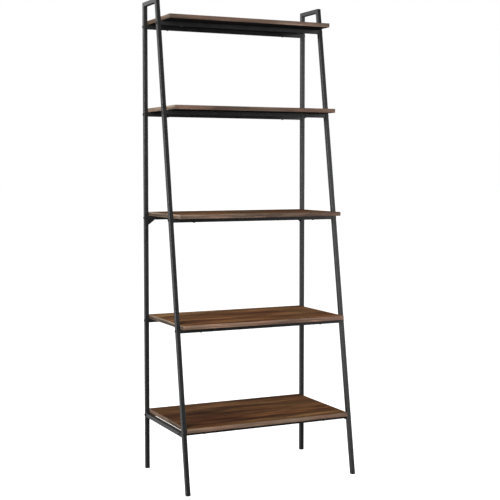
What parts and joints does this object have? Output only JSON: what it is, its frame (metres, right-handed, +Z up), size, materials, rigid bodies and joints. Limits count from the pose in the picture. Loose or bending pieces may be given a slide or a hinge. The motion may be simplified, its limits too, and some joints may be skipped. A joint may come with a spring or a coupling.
{
  "type": "ladder shelf",
  "caption": "Free-standing ladder bookcase: leaning black square-tube side frames joined by bolted crossbars that carry walnut-look shelves, deeper towards the floor.",
  "frame": {"origin": "on the floor, under the middle of the shelf's overall width and depth", "axes": "+X to the right seen from the front, +Y to the rear (the wall side), +Z up"},
  "size_m": [0.714, 0.4412, 1.829],
  "materials": {
    "black_steel": "satin black powder coat with a fine texture",
    "black_bolt": "black oxide, slightly glossier than the frame",
    "black_plastic": "moulded matte black",
    "walnut_board": "dark walnut-grain laminate on particle board, satin",
    "board_edge": "paler taupe-brown wood-grain edge band, matt",
    "zinc_screw": "dark zinc-plated pan-head screws"
  },
  "bodies": {
    "root": {"rear_post_left": "black_steel", "front_leg_left": "black_steel", "top_bar_left": "black_steel", "lower_side_rail_left": "black_steel", "rear_foot_left": "black_plastic", "front_foot_left": "black_plastic", "gusset_left": "black_steel", "rear_post_right": "black_steel", "front_leg_right": "black_steel", "top_bar_right": "black_steel", "lower_side_rail_right": "black_steel", "rear_foot_right": "black_plastic", "front_foot_right": "black_plastic", "gusset_right": "black_steel", "bottom_shelf": "walnut_board", "bottom_shelf_front_band": "board_edge", "bottom_rear_crossbar": "black_steel", "bottom_rear_bolt_left": "black_bolt", "bottom_rear_bolt_right": "black_bolt", "bottom_front_crossbar": "black_steel", "bottom_front_bolt_left": "black_bolt", "bottom_front_bolt_right": "black_bolt", "lower_shelf": "walnut_board", "lower_shelf_front_band": "board_edge", "lower_rear_crossbar": "black_steel", "lower_rear_bolt_left": "black_bolt", "lower_rear_bolt_right": "black_bolt", "lower_front_crossbar": "black_steel", "lower_front_bolt_left": "black_bolt", "lower_front_bolt_right": "black_bolt", "middle_shelf": "walnut_board", "middle_shelf_front_band": "board_edge", "middle_rear_crossbar": "black_steel", "middle_rear_bolt_left": "black_bolt", "middle_rear_bolt_right": "black_bolt", "middle_front_crossbar": "black_steel", "middle_front_bolt_left": "black_bolt", "middle_front_bolt_right": "black_bolt", "upper_shelf": "walnut_board", "upper_shelf_front_band": "board_edge", "upper_rear_crossbar": "black_steel", "upper_rear_bolt_left": "black_bolt", "upper_rear_bolt_right": "black_bolt", "upper_front_crossbar": "black_steel", "upper_front_bolt_left": "black_bolt", "upper_front_bolt_right": "black_bolt", "top_shelf": "walnut_board", "top_shelf_front_band": "board_edge", "top_rear_crossbar": "black_steel", "top_rear_bolt_left": "black_bolt", "top_rear_bolt_right": "black_bolt", "top_front_crossbar": "black_steel", "top_front_bolt_left": "black_bolt", "top_front_bolt_right": "black_bolt"}
  },
  "joints": []
}
